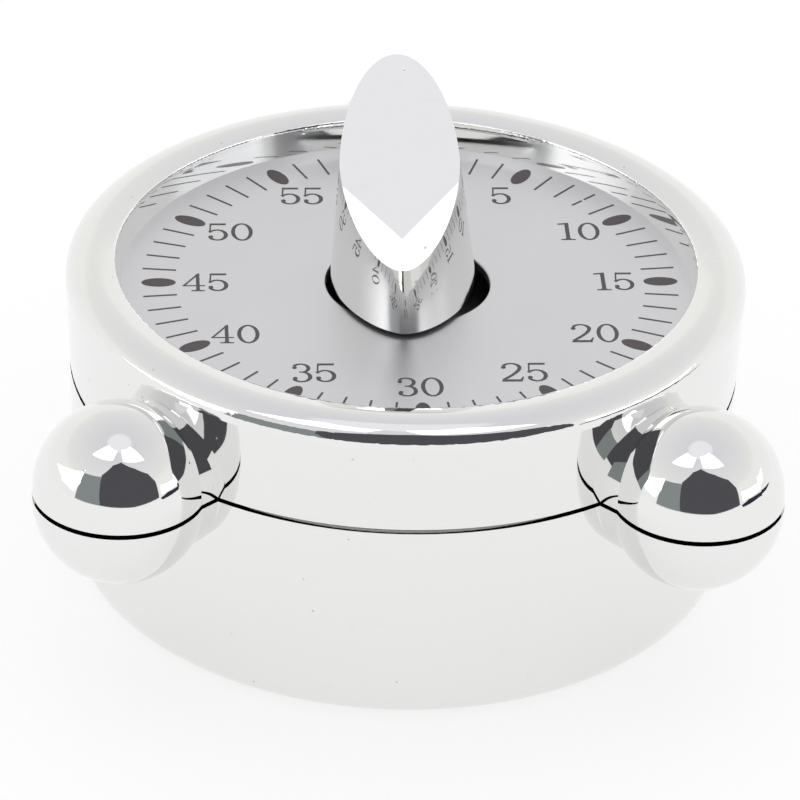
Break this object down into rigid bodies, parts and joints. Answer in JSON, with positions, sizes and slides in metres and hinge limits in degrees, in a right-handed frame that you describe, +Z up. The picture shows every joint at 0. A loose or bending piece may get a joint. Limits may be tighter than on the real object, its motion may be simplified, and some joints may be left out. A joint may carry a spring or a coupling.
{
  "type": "mechanical lab timer",
  "caption": "Round chrome sixty-minute wind-up timer with a slanted beak-shaped knob, a printed minute dial and balls on its seam.",
  "frame": {"origin": "centre of the flat base, on the axis of the case and knob", "axes": "+Z up along the knob axis, -Y to the 30-minute mark at the front, +Y to the rear ball"},
  "size_m": [0.09, 0.1016, 0.0626],
  "materials": {
    "chrome_shell": "mirror, plated",
    "satin_dial": "satin, printed",
    "brass": "rolled",
    "steel": "turned",
    "zinc_plate": "rolled",
    "bell_steel": "polished",
    "spring_steel": "blued",
    "black_oxide": "satin"
  },
  "bodies": {
    "case": {"upper_case": "chrome_shell", "lower_case": "chrome_shell", "dial_plate": "satin_dial", "case_screws": "black_oxide", "dial_screws": "black_oxide", "movement_screws": "black_oxide", "rear_plate": "zinc_plate", "front_plate": "zinc_plate", "plate_pillars": "steel", "pillar_nuts": "steel", "balance_screws": "steel", "hairspring_stud": "brass", "bell": "bell_steel", "bell_post": "steel", "bell_nut": "steel", "lever_post": "steel"},
    "knob": {"knob": "chrome_shell", "knob_bush": "brass", "main_arbor": "steel", "great_wheel": "brass", "clutch_washer": "spring_steel", "release_cam": "steel", "arbor_clip": "spring_steel"},
    "second_wheel": {"second_wheel": "brass", "second_arbor": "steel"},
    "third_wheel": {"third_wheel": "brass", "third_arbor": "steel"},
    "escape_wheel": {"escape_wheel": "brass", "escape_arbor": "steel"},
    "pallet_lever": {"pallet_lever": "brass", "pallet_pins": "steel", "pallet_arbor": "steel"},
    "balance": {"balance_wheel": "brass", "balance_staff": "steel", "impulse_pin": "steel", "hairspring": "spring_steel", "hairspring_collet": "brass"},
    "barrel": {"barrel": "zinc_plate", "barrel_cover": "zinc_plate", "mainspring": "spring_steel"},
    "strike_wheel": {"strike_wheel": "brass", "strike_arbor": "steel"},
    "hammer": {"hammer_anchor": "steel", "hammer_arbor": "steel", "hammer_arm": "zinc_plate", "hammer_head": "steel"},
    "release_lever": {"release_lever": "zinc_plate"}
  },
  "joints": [
    {"name": "knob_turn", "type": "hinge", "parent": "case", "child": "knob", "pos_m": [0, 0, 0], "axis": [0, 0, 1], "range_deg": [-180, 180]},
    {"name": "second_wheel_spin", "type": "hinge", "parent": "case", "child": "second_wheel", "pos_m": [-0.01732, 0.01, 0], "axis": [0, 0, 1], "range_deg": [-1620, 1620]},
    {"name": "third_wheel_spin", "type": "hinge", "parent": "case", "child": "third_wheel", "pos_m": [-0.00927, 0.01995, 0], "axis": [0, 0, 1], "range_deg": [-11340, 11340]},
    {"name": "escape_wheel_spin", "type": "hinge", "parent": "case", "child": "escape_wheel", "pos_m": [-0.00112, 0.02197, 0], "axis": [0, 0, 1], "range_deg": [-68040, 68040]},
    {"name": "pallet_rock", "type": "hinge", "parent": "case", "child": "pallet_lever", "pos_m": [0.00604, 0.02116, 0], "axis": [0, 0, 1], "range_deg": [-3, 3]},
    {"name": "balance_swing", "type": "hinge", "parent": "case", "child": "balance", "pos_m": [0.01361, 0.01729, 0], "axis": [0, 0, 1], "range_deg": [-150, 150], "stiffness_Nm_per_rad": 0.000012},
    {"name": "barrel_turn", "type": "hinge", "parent": "case", "child": "barrel", "pos_m": [0, 0, 0], "axis": [0, 0, 1], "continuous": true},
    {"name": "strike_wheel_spin", "type": "hinge", "parent": "case", "child": "strike_wheel", "pos_m": [0.0105, -0.01819, 0], "axis": [0, 0, 1], "continuous": true},
    {"name": "hammer_swing", "type": "hinge", "parent": "case", "child": "hammer", "pos_m": [0, -0.024, 0], "axis": [0, 0, 1], "range_deg": [-3, 3]},
    {"name": "lever_rock", "type": "hinge", "parent": "case", "child": "release_lever", "pos_m": [0.02, -0.009, 0], "axis": [0, 0, 1], "range_deg": [-1.5, 1.5]}
  ],
  "couplings": [
    {"joint": "second_wheel_spin", "follows": "knob_turn", "ratio": -9},
    {"joint": "third_wheel_spin", "follows": "knob_turn", "ratio": 63},
    {"joint": "escape_wheel_spin", "follows": "knob_turn", "ratio": -378},
    {"joint": "strike_wheel_spin", "follows": "barrel_turn", "ratio": -6}
  ]
}
